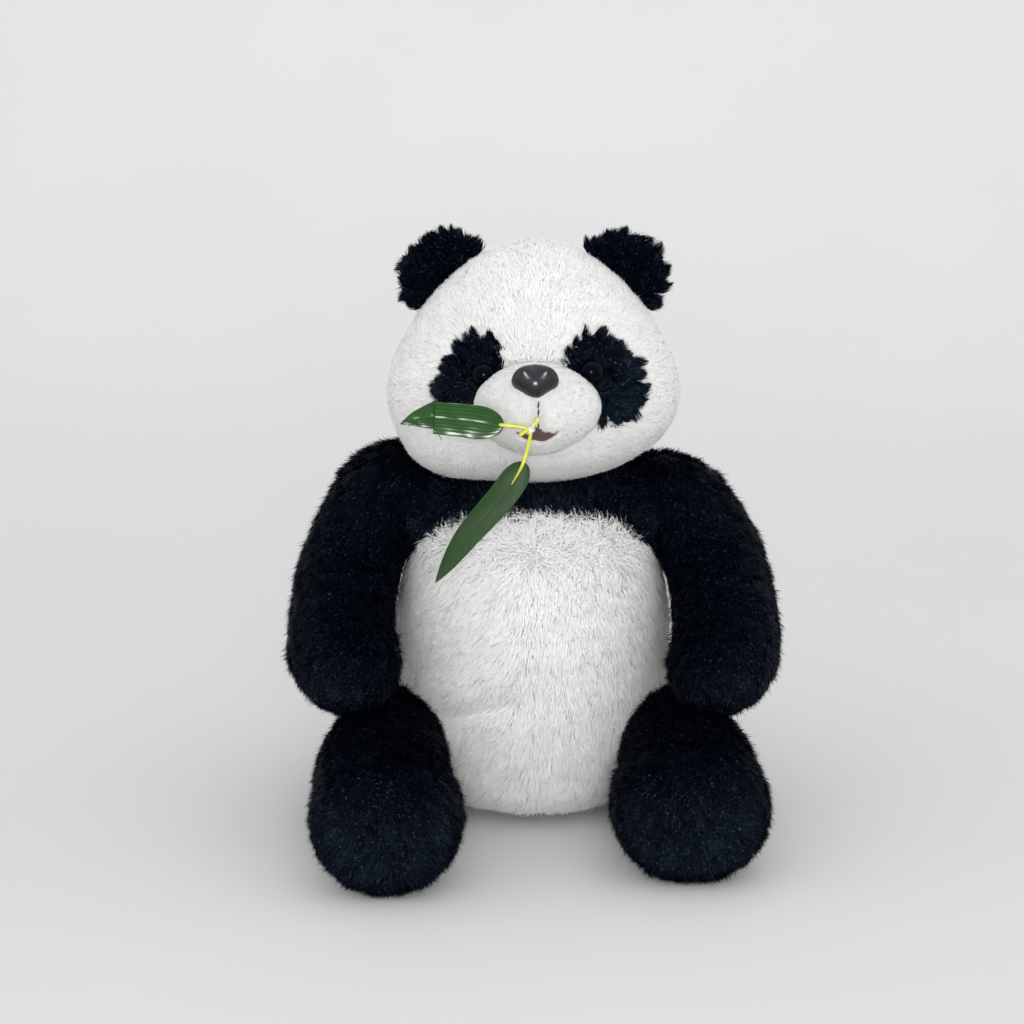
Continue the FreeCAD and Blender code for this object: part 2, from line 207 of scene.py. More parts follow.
# Nose: its middle is behind its box's front and below its top; its half outline is in shares of its size
NOSE_HALF_WIDTH = 13
NOSE_HALF_HEIGHT = 9
NOSE_DOME = 8
NOSE_LEAN = 38
NOSE_BEHIND_FRONT = 9.6
NOSE_BELOW_TOP = 10.4
NOSE_HALF_OUTLINE = [(0, 1.12), (0.45, 1), (0.82, 0.64), (1, 0.15), (0.93, -0.25), (0.62, -0.58),
                     (0.36, -0.84), (0.16, -0.98), (0, -1)]
LOBE_PLACE = (7.8, 4.2)
LOBE_HALF_SIZE = (4.5, 4)
LOBE_RISE = 3

# Muzzle: the share of its outline that hides the head's cloth, a crease below the nose, a lip on each side of
# it, full cheeks and a full chin
MUZZLE_HIDES = 0.86
CREASE_X = 1.7
CREASE_HALF_WIDTH = 2.6
CREASE_DEPTH = 1.6
LIP_OFFSET = 12
LIP_Z = 253
LIP_RADIUS = 9
LIP_RISE = 1.6
MOUTH_SINK = 1.2
CHEEKS_LET_OUT = {"left": 4, "right": 1.5}
CHIN_LET_DOWN = 2.8

# Mouth: a smile that is highest under the stitches
MOUTH_MIDDLE = (1.2, 247.2)
MOUTH_HALF_WIDTH = 13.5
MOUTH_DROP = 8
MOUTH_CURL = 0.6
MOUTH_PEAK = 2.2
MOUTH_PEAK_HALF_WIDTH = 3.5
LINING_THICKNESS = 2.2
LINING_BULGE = 0.7
STITCHES = 4
STITCH_PITCH = 4
STITCH_ENDS = (1.5, 4.9)

# Bamboo sprig: places along each piece, whose Y is from the middle of its leaf's CAD box
UPPER_LEAF = [(-17.2, 0, 251.6), (-36, -1, 254.8), (-55, 0, 256.4)]
UPPER_LEAF_HALF_WIDTH = 9.4
UPPER_LEAF_BACK = [(-52, 1.2, 257.6), (-64, 1.6, 255.5), (-73.6, 1, 252.6)]
UPPER_LEAF_BACK_HALF_WIDTH = 8.6
UPPER_LEAF_FOLD = [(-54.8, 0.5, 249.5), (-54.8, 0.5, 265.5)]
UPPER_LEAF_FIBRE = [(-53.4, 0, 250), (-52.3, -0.4, 246.4), (-51, 0.3, 243.6)]
LOWER_LEAF = [(-5.4, 0, 232), (-18.2, -1.2, 213.3), (-38, -1, 189.7), (-55.2, 0, 163.4)]
LOWER_LEAF_HALF_WIDTH = 7.8
UPPER_STEM = [(-20, 0, 252.4), (-10, -0.6, 251.4), (-3, -1, 250.4), (0.6, -0.4, 254), (2, 0.4, 256)]
LOWER_STEM = [(-8.4, 0.5, 247), (-5, -0.3, 249.5), (-2.4, -0.6, 250), (-4.2, -0.4, 240), (-6.6, -1, 232),
              (-9.5, -1.7, 226), (-13, -1.9, 220)]
LEAF_THICKNESS = 0.5
VEIN_RIDGE = 0.045
RIB_RIDGE = 0.3
WAVE_ACROSS = 0.12
WAVE_ALONG = 0.18
KNOT_X = -2.6
KNOT_Z = 249.9


# Small tools

def unit(rows):
    return rows / np.maximum(np.linalg.norm(rows, axis=-1, keepdims=True), 1e-9)


def dot(a, b):
    return np.sum(a * b, axis=-1, keepdims=True)


def smoothstep(low, high, value):
    share = np.clip((value - low) / (high - low), 0, 1)
    return share * share * (3 - 2 * share)


def bell(value):
    """1 at zero, falling smoothly to nothing a few units away."""
    return np.exp(-(value**2))


def mirrored(place, sign):
    """A place or direction of the left side, for the side with the given sign."""
    return np.array(place, float) * [sign, 1, 1]


def node_box(node):
    low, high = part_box(node)
    return np.array(low) / MM, np.array(high) / MM


def node_middle(node):
    low, high = node_box(node)
    return (low + high) / 2


def mesh_object(name, parts, look=None, normals=None):
    """One mesh object from parts; each is its points and a list of arrays of faces."""
    mesh = bpy.data.meshes.new(name)
    offset = 0
    corners = []
    sizes = []
    for points, face_sets in parts:
        for faces in face_sets:
            corners.append((faces + offset).ravel())
            sizes.append(np.full(len(faces), faces.shape[1]))
        offset += len(points)
    points = np.concatenate([p for p, _ in parts]) * MM
    corners = np.concatenate(corners)
    sizes = np.concatenate(sizes)
    mesh.vertices.add(len(points))
    mesh.vertices.foreach_set("co", points.astype(np.float32).ravel())
    mesh.loops.add(len(corners))
    mesh.loops.foreach_set("vertex_index", corners.astype(np.int32))
    mesh.polygons.add(len(sizes))
    starts = np.concatenate([[0], np.cumsum(sizes)[:-1]])
    mesh.polygons.foreach_set("loop_start", starts.astype(np.int32))
    mesh.update(calc_edges=True)
    mesh.polygons.foreach_set("use_smooth", np.full(len(sizes), True))
    if normals is not None:
        mesh.normals_split_custom_set_from_vertices(normals)
    if look:
        mesh.materials.append(looks[look])
    obj = bpy.data.objects.new(name, mesh)
    bpy.context.scene.collection.objects.link(obj)
    return obj


def grid_quads(rows, columns, wrap):
    """Quads of a grid of points, rows after each other; wrap joins each row's last point to its first."""
    r = np.arange(rows - 1)[:, None]
    c = np.arange(columns if wrap else columns - 1)[None, :]
    following = (c + 1) % columns
    quads = [r * columns + c, r * columns + following, (r + 1) * columns + following, (r + 1) * columns + c]
    return np.stack(quads, -1).reshape(-1, 4)


def inside_out(points, faces):
    """True for a closed solid whose faces are wound inwards."""
    volume = 0
    for f in faces:
        for i in range(1, f.shape[1] - 1):
            volume += dot(points[f[:, 0]], np.cross(points[f[:, i]], points[f[:, i + 1]])).sum()
    return volume < 0


def loft(rings):
    """Closed solid through rings of equal count, with a fan at each end, as a part for mesh_object()."""
    rings = np.asarray(rings, float)
    count, columns = rings.shape[:2]
    points = rings.reshape(-1, 3)
    middles = np.stack([rings[0].mean(0), rings[-1].mean(0)])
    c = np.arange(columns)
    following = (c + 1) % columns
    last = (count - 1) * columns
    first_fan = np.stack([following, c, np.full(columns, len(points))], -1)
    last_fan = np.stack([last + c, last + following, np.full(columns, len(points) + 1)], -1)
    points = np.concatenate([points, middles])
    faces = [grid_quads(count, columns, True), first_fan, last_fan]
    if inside_out(points, faces):
        faces = [f[:, ::-1] for f in faces]
    return points, faces


def smooth_path(points, count):
    """Evenly shared points on a smooth curve through the given ones."""
    points = np.asarray(points, float)
    padded = np.concatenate([[2 * points[0] - points[1]], points, [2 * points[-1] - points[-2]]])
    share = np.linspace(0, len(points) - 1, count)
    span = np.minimum(share.astype(int), len(points) - 2)
    t = (share - span)[:, None]
    p0, p1, p2, p3 = (padded[span + i] for i in range(4))
    square = (2 * p0 - 5 * p1 + 4 * p2 - p3) * t**2
    cube = (3 * p1 - p0 - 3 * p2 + p3) * t**3
    return 0.5 * (2 * p1 + (p2 - p0) * t + square + cube)


def tube(path, radii, sides=10):
    """Round bar along a path, with one radius for each of its points."""
    path = np.asarray(path, float)
    way = unit(np.gradient(path, axis=0))
    across = unit(np.cross(way, [0.3, 1, 0.2]))
    up = np.cross(way, across)
    turn = np.linspace(0, 2 * math.pi, sides, endpoint=False)
    circle = across[:, None] * np.cos(turn)[None, :, None] + up[:, None] * np.sin(turn)[None, :, None]
    return loft(path[:, None] + circle * np.asarray(radii, float).reshape(-1, 1, 1))


def ball(centre, radii, rings=20, columns=32):
    """Ellipsoid as a loft."""
    lift = np.linspace(-math.pi / 2, math.pi / 2, rings + 2)[1:-1]
    turn = np.linspace(0, 2 * math.pi, columns, endpoint=False)
    x = np.cos(lift)[:, None] * np.cos(turn)
    y = np.cos(lift)[:, None] * np.sin(turn)
    z = np.repeat(np.sin(lift)[:, None], columns, 1)
    return loft(np.stack([x, y, z], -1) * np.asarray(radii, float) + np.asarray(centre, float))


def puck(centre, radii, squareness, rings=24, columns=40):
    """Disc that faces -Y, with a rounded edge."""
    share = np.sin(np.linspace(-0.97, 0.97, rings) * math.pi / 2)
    reach = (1 - np.abs(share) ** squareness) ** (1 / squareness)
    turn = np.linspace(0, 2 * math.pi, columns, endpoint=False)
    x = reach[:, None] * np.sin(turn)
    z = reach[:, None] * np.cos(turn)
    y = np.repeat(share[:, None], columns, 1)
    return loft(np.stack([x, y, z], -1) * np.asarray(radii, float) + np.asarray(centre, float))


# Materials

def new_material(name, **values):
    """Principled material; values are its sockets' constants, with _ for a space."""
    material = bpy.data.materials.new(name)
    material.use_nodes = True
    shader = material.node_tree.nodes["Principled BSDF"]
    for socket, value in values.items():
        shader.inputs[socket.replace("_", " ")].default_value = value
    return material


def noise_node(material, scale, detail=3, stretch=(1, 1, 1)):
    """Noise that stays on the object; its scale is in features per metre."""
    nodes = material.node_tree.nodes
    links = material.node_tree.links
    place = nodes.new("ShaderNodeTexCoord")
    mapping = nodes.new("ShaderNodeMapping")
    mapping.inputs["Scale"].default_value = stretch
    noise = nodes.new("ShaderNodeTexNoise")
    noise.inputs["Scale"].default_value = scale
    noise.inputs["Detail"].default_value = detail
    links.new(place.outputs["Object"], mapping.inputs["Vector"])
    links.new(mapping.outputs["Vector"], noise.inputs["Vector"])
    return noise


def coloured(material, value, stops):
    """Base colour from an output socket's value, through (position, colour) stops."""
    nodes = material.node_tree.nodes
    links = material.node_tree.links
    ramp = nodes.new("ShaderNodeValToRGB")
    ends = ramp.color_ramp.elements
    while len(ends) < len(stops):
        ends.new(0.5)
    for end, (position, colour) in zip(ends, stops):
        end.position = position
        end.color = (*colour, 1)
    links.new(value, ramp.inputs["Fac"])
    links.new(ramp.outputs["Color"], nodes["Principled BSDF"].inputs["Base Color"])


def bumped(material, noise, strength, distance):
    nodes = material.node_tree.nodes
    links = material.node_tree.links
    bump = nodes.new("ShaderNodeBump")
    bump.inputs["Strength"].default_value = strength
    bump.inputs["Distance"].default_value = distance
    links.new(noise.outputs["Fac"], bump.inputs["Height"])
    links.new(bump.outputs["Normal"], nodes["Principled BSDF"].inputs["Normal"])


def mottled(name, scale, detail, stops, stretch=(1, 1, 1), bump=None, **values):
    """Material coloured by one noise; bump is that noise's (strength, distance) as relief."""
    material = new_material(name, **values)
    noise = noise_node(material, scale, detail, stretch)
    coloured(material, noise.outputs["Fac"], stops)
    if bump:
        bumped(material, noise, *bump)
    return material


def woven_cloth(name, dark, light):
    """Plain cloth or twisted thread."""
    return mottled(name, 1500, 2, [(0.35, dark), (0.65, light)], (1, 1, 1.6), (0.5, 0.0003), Roughness=0.85,
                   Sheen_Weight=0.2)


def satin_nose_plastic():
    stops = [(0.3, (0.006, 0.007, 0.01)), (0.7, (0.011, 0.012, 0.016))]
    material = mottled("satin_nose_plastic", 120, 3, stops, Roughness=0.25, Specular_IOR_Level=0.4)
    bumped(material, noise_node(material, 2600, 2), 0.12, 0.0001)
    return material


def leaf_cloth(name, roughness, dark, middle, light):
    """Coated cloth with fine veins along the leaf; the vein value is kept in the mesh."""
    material = new_material(name, Roughness=roughness, Specular_IOR_Level=0.3)
    nodes = material.node_tree.nodes
    links = material.node_tree.links
    vein = nodes.new("ShaderNodeAttribute")
    vein.attribute_name = "vein"
    blotch = noise_node(material, 140, 3)
    mix = nodes.new("ShaderNodeMath")
    mix.operation = "MULTIPLY_ADD"
    mix.inputs[1].default_value = 0.35
    links.new(blotch.outputs["Fac"], mix.inputs[0])
    links.new(vein.outputs["Fac"], mix.inputs[2])
    coloured(material, mix.outputs["Value"], [(0.12, dark), (0.45, middle), (1, light)])
    return material


def make_materials():
    """Every finish by its short name; colours are linear."""
    return {
        "white": mottled(
            "white_fur", 90, 4, [(0.25, (0.82, 0.82, 0.8)), (0.6, (0.89, 0.89, 0.872))],
            Roughness=0.45, Specular_IOR_Level=0.18, Sheen_Weight=0.15, Sheen_Roughness=0.4),
        # black_fur's last, bright stop paints sparse lighter strands into the base colour: painted glints
        # that stand in for highlights on the pile
        "black": mottled(
            "black_fur", 650, 3,
            [(0.3, (0.0006, 0.0016, 0.005)), (0.62, (0.0012, 0.0026, 0.008)), (0.72, (0.08, 0.1, 0.13))],
            Roughness=0.34, Specular_IOR_Level=0.07, Specular_Tint=(0.5, 0.75, 1, 1), Sheen_Weight=0.004,
            Sheen_Roughness=0.3, Sheen_Tint=(0.25, 0.45, 1, 1)),
        "short_white": mottled(
            "short_white_pile", 220, 5, [(0.3, (0.81, 0.81, 0.795)), (0.55, (0.87, 0.87, 0.855))],
            Roughness=0.7, Specular_IOR_Level=0.12, Sheen_Weight=0.15, Sheen_Roughness=0.5),
        "fill": mottled(
            "fibre_fill", 180, 6, [(0.3, (0.75, 0.75, 0.73)), (0.7, (0.93, 0.93, 0.91))], bump=(0.8, 0.002),
            Roughness=0.9, Sheen_Weight=0.3),
        "eye": mottled(
            "black_eye_plastic", 40, 1, [(0.3, (0.0004, 0.0006, 0.001)), (0.7, (0.0008, 0.001, 0.0016))],
            Roughness=0.05, Specular_IOR_Level=0.07, Specular_Tint=(0.45, 0.7, 1, 1)),
        "nose": satin_nose_plastic(),
        "washer": mottled(
            "white_washer_plastic", 300, 2, [(0.3, (0.8, 0.8, 0.78)), (0.7, (0.88, 0.88, 0.86))],
            Roughness=0.45),
        "stem": mottled(
            "stem_plastic", 160, 3, [(0.3, (0.5, 0.56, 0.03)), (0.7, (0.75, 0.72, 0.06))],
            Roughness=0.35, Specular_IOR_Level=0.5),
        "paper": mottled(
            "pale_paper", 3, 2, [(0.3, (0.64, 0.64, 0.638)), (0.7, (0.655, 0.655, 0.652))],
            Roughness=0.8, Specular_IOR_Level=0.2),
        "pouch": woven_cloth("pouch_cloth", (0.7, 0.68, 0.62), (0.84, 0.82, 0.76)),
        "mouth": woven_cloth("mouth_cloth", (0.05, 0.022, 0.018), (0.12, 0.055, 0.045)),
        "dark_thread": woven_cloth("dark_thread", (0.012, 0.012, 0.013), (0.035, 0.034, 0.034)),
        "pale_thread": woven_cloth("pale_thread", (0.7, 0.7, 0.62), (0.9, 0.9, 0.84)),
        "glossy_leaf": leaf_cloth(
            "glossy_leaf", 0.2, (0.008, 0.045, 0.008), (0.022, 0.095, 0.01), (0.06, 0.2, 0.02)),
        "matte_leaf": leaf_cloth(
            "matte_leaf", 0.45, (0.01, 0.038, 0.007), (0.02, 0.062, 0.012), (0.05, 0.13, 0.025)),
    }


# Sewn forms: rough solids, made even by voxels, then pushed out by their filling

def evaluated_mesh(obj):
    graph = bpy.context.evaluated_depsgraph_get()
    return bpy.data.meshes.new_from_object(obj.evaluated_get(graph))


def apply_modifiers(obj):
    mesh = evaluated_mesh(obj)
    obj.modifiers.clear()
    obj.data = mesh


def rows_of(items, field, width, kind=np.float32):
    """A field of all of a mesh's items, in rows of the given width."""
    values = np.zeros(len(items) * width, kind)
    items.foreach_get(field, values)
    return values.reshape(-1, width)


def mesh_points(mesh):
    return rows_of(mesh.vertices, "co", 3).astype(float) / MM


def set_points(obj, points):
    obj.data.vertices.foreach_set("co", (points * MM).astype(np.float32).ravel())
    obj.data.update()


def even_solid(name, parts, voxel, smoothing):
    """The union of closed parts, with even faces."""
    obj = mesh_object(name, parts)
    remesh = obj.modifiers.new("remesh", "REMESH")
    remesh.mode = "VOXEL"
    remesh.voxel_size = voxel * MM
    smooth = obj.modifiers.new("smooth", "SMOOTH")
    smooth.factor = 0.5
    smooth.iterations = smoothing
    apply_modifiers(obj)
    return obj


def puff(obj, seam_distance):
    """Cloth held along its seams and blown out by its filling, by at most PUFF_CAP."""
    start = mesh_points(obj.data)
    held = np.nonzero(seam_distance(start) < SEAM_HALF_WIDTH)[0]
    pins = obj.vertex_groups.new(name="seam")
    pins.add(held.tolist(), 1.0, "REPLACE")
    cloth = obj.modifiers.new("cloth", "CLOTH")
    settings = cloth.settings
    settings.vertex_group_mass = "seam"
    settings.use_pressure = True
    settings.uniform_pressure_force = PUFF_PRESSURE
    settings.effector_weights.gravity = 0
    scene = bpy.context.scene
    for number in range(1, PUFF_FRAMES + 1):
        scene.frame_set(number)
    blown = evaluated_mesh(obj)
    move = mesh_points(blown) - start
    reach = np.linalg.norm(move, axis=1, keepdims=True)
    move *= np.minimum(1, PUFF_CAP / np.maximum(reach, 1e-6))
    obj.modifiers.clear()
    set_points(obj, start + move)
    bpy.data.meshes.remove(blown)
    scene.frame_set(1)


class Form:
    """Points, quads and normals of a sewn form's backing cloth."""

    def __init__(self, obj, shape=None):
        subdivision = obj.modifiers.new("subdivision", "SUBSURF")
        subdivision.levels = 1
        subdivision.render_levels = 1
        apply_modifiers(obj)
        self.points = mesh_points(obj.data)
        if shape:
            self.points = shape(self.points)
            set_points(obj, self.points)
        self.quads = rows_of(obj.data.loops, "vertex_index", 1, np.int32).reshape(-1, 4)
        self.normals = rows_of(obj.data.vertex_normals, "vector", 3).astype(float)
        bpy.data.objects.remove(obj)

    def centres(self):
        return self.points[self.quads].mean(1)


def nearest_node(points, nodes):
    """For each point, which of the CAD nodes has the nearest surface."""
    best = np.full(len(points), np.inf)
    choice = np.zeros(len(points), int)
    places = [Vector(p) for p in points * MM]
    for index, node in enumerate(nodes):
        mesh = frame["nodes"][node].data
        corners = [v.co.copy() for v in mesh.vertices]
        tree = BVHTree.FromPolygons(corners, [tuple(p.vertices) for p in mesh.polygons])
        distance = np.array([tree.find_nearest(place)[3] for place in places])
        closer = distance < best - 1e-6
        best[closer] = distance[closer]
        choice[closer] = index
    return choice


# Pile

# How a cloth's pile looks: density is strands per square millimetre, lean degrees from upright, spread how
# unevenly it is combed, and clump how far strands draw together within clump_size. wild is the share that
# stands up, and soft how far a strand is shaded as the cloth under it, from 0 to 1.
Pile = namedtuple("Pile", "density length half_width lean spread clump_size clump wild soft")

BELLY_PILE = Pile(2.4, 12, 0.28, 71, 0.28, 6, 0.25, 0, 0.94)
HEAD_PILE = Pile(3.4, 8.5, 0.24, 75, 0.4, 5, 0.15, 0, 0.97)
LIMB_PILE = Pile(2.8, 12, 0.3, 58, 0.45, 6, 0.38, 0.06, 0.3)
PATCH_PILE = Pile(6, 11, 0.24, 60, 0.45, 3.5, 0.85, 0.08, 0.3)
EAR_PILE = Pile(6, 11, 0.24, 50, 0.6, 4, 0.85, 0.15, 0.3)
MUZZLE_PILE = Pile(10, 2.6, 0.2, 58, 0.8, 3, 0.12, 0, 0.97)
NECK_PILE = Pile(2.5, 9, 0.3, 60, 0.4, 7, 0.4, 0, 0.3)
TAIL_PILE = Pile(2.4, 10, 0.28, 60, 0.4, 6, 0.3, 0, 0.92)
MOST_STRANDS = 79000

# How strands differ from each other, as shares of their own measure or in degrees
LENGTH_RANGE = (0.7, 1.15)
WIDTH_RANGE = (0.7, 1.3)
CLUMP_RANGE = (0.5, 1.2)
LEAN_SPREAD = 7
ROLL_SPREAD = 0.35

# A strand bends at its knee: its lean below and above it, as shares of the pile's lean
LEAN_BELOW_KNEE = 0.65
LEAN_ABOVE_KNEE = 1.3
MOST_LEAN = 86
WILD_LEAN = 0.5
KNEE_CLUMP = 0.4

# First number of each part's random draws
SEEDS = {"head": 20, "muzzle": 31, "torso": 40, "tail": 50, "neck": 51, "arm": 60, "leg": 70, "ear": 80}


def scatter(form, quads, density, rng):
    """Random places on some of a form's quads, and the normals there."""
    triangles = np.concatenate([quads[:, [0, 1, 2]], quads[:, [0, 2, 3]]])
    a, b, c = (form.points[triangles[:, i]] for i in range(3))
    area = np.linalg.norm(np.cross(b - a, c - a), axis=1) / 2
    count = min(int(area.sum() * density), MOST_STRANDS)
    chosen = rng.choice(len(triangles), count, p=area / area.sum())
    u = np.sqrt(rng.random(count))[:, None]
    v = rng.random(count)[:, None]
    weights = np.concatenate([1 - u, u * (1 - v), u * v], 1)[:, :, None]
    places = (form.points[triangles[chosen]] * weights).sum(1)
    normals = unit((form.normals[triangles[chosen]] * weights).sum(1))
    return places, normals


def clumped(places, knees, tips, pile, rng):
    """Pull neighbouring strands together at their tips."""
    total = max(1, int(len(places) / (pile.density * pile.clump_size**2)))
    leaders = rng.choice(len(places), total, replace=False)
    tree = KDTree(total)
    for index, leader in enumerate(leaders):
        tree.insert(places[leader], index)
    tree.balance()
    leader = leaders[[tree.find(place)[1] for place in places]]
    pull = pile.clump * rng.uniform(*CLUMP_RANGE, (len(places), 1))
    tips = tips + (tips[leader] - tips) * pull
    knees = knees + (knees[leader] - knees) * pull * KNEE_CLUMP
    return knees, tips


def combed(normals, flow, pile, rng):
    """Each strand's way along the cloth; a weak flow leaves more of it to chance."""
    strength = np.maximum(np.linalg.norm(flow, axis=1, keepdims=True), 1)
    flow = flow / strength + rng.normal(0, pile.spread, normals.shape)
    return unit(flow - normals * dot(flow, normals))


def bent(places, normals, flow, pile, rng):
    """Knee and tip of each strand, before clumping."""
    count = len(places)
    length = pile.length * rng.uniform(*LENGTH_RANGE, (count, 1))
    lean = np.radians(pile.lean + rng.normal(0, LEAN_SPREAD, (count, 1)))
    lean = np.where(rng.random((count, 1)) < pile.wild, lean * WILD_LEAN, lean)
    low = lean * LEAN_BELOW_KNEE
    high = np.minimum(lean * LEAN_ABOVE_KNEE, math.radians(MOST_LEAN))
    knees = places + length * 0.5 * (normals * np.cos(low) + flow * np.sin(low))
    tips = knees + length * 0.5 * (normals * np.cos(high) + flow * np.sin(high))
    return knees, tips


def strands(places, normals, flow, pile, rng):
    """Tapered flat strands along the flow, as a part for mesh_object(), and their shading normals."""
    count = len(places)
    flow = combed(normals, flow, pile, rng)
    knees, tips = bent(places, normals, flow, pile, rng)
    knees, tips = clumped(places, knees, tips, pile, rng)
    roots = places - normals
    side = unit(np.cross(normals, flow))
    out = unit(np.cross(unit(tips - roots), side))
    roll = rng.normal(0, ROLL_SPREAD, (count, 1))
    side, out = side * np.cos(roll) + out * np.sin(roll), out * np.cos(roll) - side * np.sin(roll)
    facing = np.sign(dot(out, normals))
    side = side * facing
    out = out * facing
    half = pile.half_width * rng.uniform(*WIDTH_RANGE, (count, 1))
    points = np.stack([roots, knees + half * side, knees - half * side, tips], 1).reshape(-1, 3)
    points[:, 2] = np.maximum(points[:, 2], FLOOR_CLEARANCE + 0.3 * rng.random(len(points)))
    faces = (np.arange(count)[:, None, None] * 4 + np.array([[0, 2, 1], [3, 1, 2]])).reshape(-1, 3)
    own = np.stack([out, unit(out + side), unit(out - side), out], 1)
    shading = unit(own * (1 - pile.soft) + normals[:, None] * pile.soft).reshape(-1, 3)
    return (points, [faces]), shading


def cloth_sheet(form, quads, thickness=CLOTH):
    """The backing cloth of some quads, closed at its cut edges."""
    used, flat = np.unique(quads, return_inverse=True)
    quads = flat.reshape(-1, 4)
    outer = form.points[used]
    inner = outer - form.normals[used] * thickness
    count = len(used)
    edges = np.concatenate([quads[:, [i, (i + 1) % 4]] for i in range(4)])
    keys = np.sort(edges, 1)
    _, first, times = np.unique(keys, axis=0, return_index=True, return_counts=True)
    rim = edges[first[times == 1]]
    walls = np.stack([rim[:, 1], rim[:, 0], rim[:, 0] + count, rim[:, 1] + count], 1)
    faces = np.concatenate([quads, quads[:, ::-1] + count, walls])
    points = np.concatenate([outer, inner])
    points[:, 2] = np.maximum(points[:, 2], FLOOR_CLEARANCE)
    normals = form.normals[used]
    return (points, [faces]), np.concatenate([normals, -normals])


def attach(obj, node):
    """obj stands for one CAD node and moves with its body."""
    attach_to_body(obj, frame["nodes"][node]["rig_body"])
    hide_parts(node)


def fur_panel(node, form, quads, pile, flow, look, seed, name=None):
    """One panel: its cloth and its pile, in place of a CAD node."""
    rng = np.random.default_rng(seed)
    density = pile.density * 1
    places, normals = scatter(form, quads, density, rng)
    cloth, cloth_normals = cloth_sheet(form, quads)
    hair, hair_normals = strands(places, normals, flow(places), pile, rng)
    shading = np.concatenate([cloth_normals, hair_normals])
    panel = mesh_object(name or f"{node}_pile", [cloth, hair], look, shading)
    attach(panel, node)


def filling(node, form, depth=FILLING_DEPTH):
    """Loose fibre filling just inside the cloth, in place of its CAD node."""
    inside = form.points - form.normals * depth
    inside[:, 2] = np.maximum(inside[:, 2], 2 * FLOOR_CLEARANCE)
    piece = mesh_object(node.replace("stuffing", "filling"), [(inside, [form.quads])], "fill")
    attach(piece, node)


def straight(way):
    """Pile brushed the same way everywhere."""
    return lambda places: np.array(way, float) + 0 * places


# Head

def spun_rings(outline, middle_y, depth, shrink, columns=48):
    """Rings about the Z axis from (height, half width) pairs, moved inwards by the pile's depth."""
    heights = np.array([z for z, _ in outline], float)
    widths = np.array([w for _, w in outline], float)
    middle = (heights.max() + heights.min()) / 2
    half = (heights.max() - heights.min()) / 2
    heights = middle + (heights - middle) * (half - shrink) / half
    widths = np.maximum(widths - shrink, widths * 0.4)
    turn = np.linspace(0, 2 * math.pi, columns, endpoint=False)
    rings = []
    for z, w in zip(heights, widths):
        y = middle_y + np.maximum(w * depth, 1) * np.sin(turn)
        rings.append(np.stack([w * np.cos(turn), y, np.full(columns, z)], 1))
    return rings


def head_shape(points):
    """Shallow sockets behind the eye patches, and a fuller jowl on the panda's right."""
    points = points.copy()
    for sign in SIDES.values():
        away = np.linalg.norm((points - mirrored(SOCKET_MIDDLE, sign)) / SOCKET_REACH, axis=1)
        points[:, 1] += SOCKET_DEPTH * (1 - smoothstep(0, 1, away))
    x, y, z = points.T
    jowl = bell((x - JOWL_X) / JOWL_HALF_WIDTH) * smoothstep(*JOWL_HEIGHTS, z) * smoothstep(*JOWL_DEPTHS, y)
    points[:, 2] -= JOWL_DROP * jowl
    return points


def head_seams(points):
    """Distance to the gusset's two seams."""
    gusset = node_box("head_gusset")[1][0]
    return np.abs(np.abs(points[:, 0]) - gusset)


def head_flow(places):
    """Away from the muzzle over the face, and down the back."""
    away = unit(places - node_middle("muzzle_cover"))
    down = unit(straight((0, 0.2, -1))(places))
    back = smoothstep(*BRUSHED_BACK, places[:, 1:2])
    return away * (1 - back) + down * back


def patch_flow(sign):
    """Outwards from the eye, and more to the side and up."""
    return lambda places: unit(places - mirrored(PATCH_PARTING, sign)) + mirrored(PATCH_DRIFT, sign)


def under_muzzle(centres):
    """True where the muzzle hides the head's cloth."""
    low, high = node_box("muzzle_cover")
    share = ((centres - (low + high) / 2) / ((high - low) / 2))[:, [0, 2]]
    return (np.sqrt((share**2).sum(1)) < MUZZLE_HIDES) & (centres[:, 1] < HEAD_MIDDLE_Y)


def beyond_patch(centres):
    """True outside the tilted ovals that the patches' pile is rooted in."""
    roots = np.where(centres[:, :1] > 0, PATCH_ROOT["left"], PATCH_ROOT["right"])
    x = np.abs(centres[:, 0]) - roots[:, 0]
    z = centres[:, 2] - roots[:, 1]
    tilt = math.radians(PATCH_TILT)
    along = np.abs(-x * math.cos(tilt) + z * math.sin(tilt)) / PATCH_HALF_LENGTH
    across = np.abs(x * math.sin(tilt) + z * math.cos(tilt)) / PATCH_HALF_WIDTH
    return along**PATCH_SQUARENESS + across**PATCH_SQUARENESS > 1


def head_pieces():
    rings = spun_rings(HEAD_OUTLINE, HEAD_MIDDLE_Y, HEAD_DEPTH, PILE)
    obj = even_solid("head_form", [loft(rings)], **BODY_MESH)
    puff(obj, head_seams)
    form = Form(obj, head_shape)
    centres = form.centres()
    nodes = ["head_gusset", "head_side_left", "head_side_right", "eye_patch_left", "eye_patch_right"]
    choice = nearest_node(centres, nodes)
    outside = (choice > 2) & beyond_patch(centres)
    gusset = node_box("head_gusset")[1][0]
    beside = np.where(centres[:, 0] > 0, 1, 2)
    choice[outside] = np.where(np.abs(centres[:, 0]) < gusset, 0, beside)[outside]
    hidden = under_muzzle(centres)
    for index, node in enumerate(nodes):
        quads = form.quads[(choice == index) & ~hidden]
        seed = SEEDS["head"] + index
        if node.startswith("eye_patch"):
            sign = SIDES[node.rsplit("_", 1)[1]]
            fur_panel(node, form, quads, PATCH_PILE, patch_flow(sign), "black", seed)
        else:
            fur_panel(node, form, quads, HEAD_PILE, head_flow, "white", seed)
    filling("head_stuffing", form)


# Muzzle, nose, mouth and eyes

